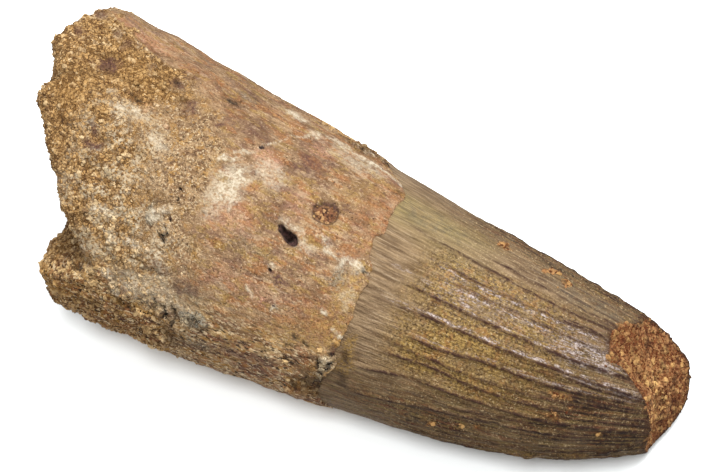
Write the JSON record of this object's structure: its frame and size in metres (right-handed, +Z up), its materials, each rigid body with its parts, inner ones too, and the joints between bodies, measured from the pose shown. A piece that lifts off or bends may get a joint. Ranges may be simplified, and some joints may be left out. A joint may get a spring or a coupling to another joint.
{
  "type": "spinosaurus tooth",
  "caption": "Fossil spinosaurus tooth lying on its side: a ribbed conical crown broken off on a slant, on a stout root whose notched end is crusted with sandstone.",
  "frame": {"origin": "on the surface that the tooth rests on, under the centre of its bounding box", "axes": "+X along the tooth from the root's broken end towards the broken tip, +Z up with the tooth lying on its side"},
  "size_m": [0.0748, 0.0332, 0.0302],
  "materials": {
    "fossil": "dull brown fossil enamel and dentine with rough ochre sandstone"
  },
  "bodies": {
    "root": {"tooth": "fossil"}
  },
  "joints": []
}
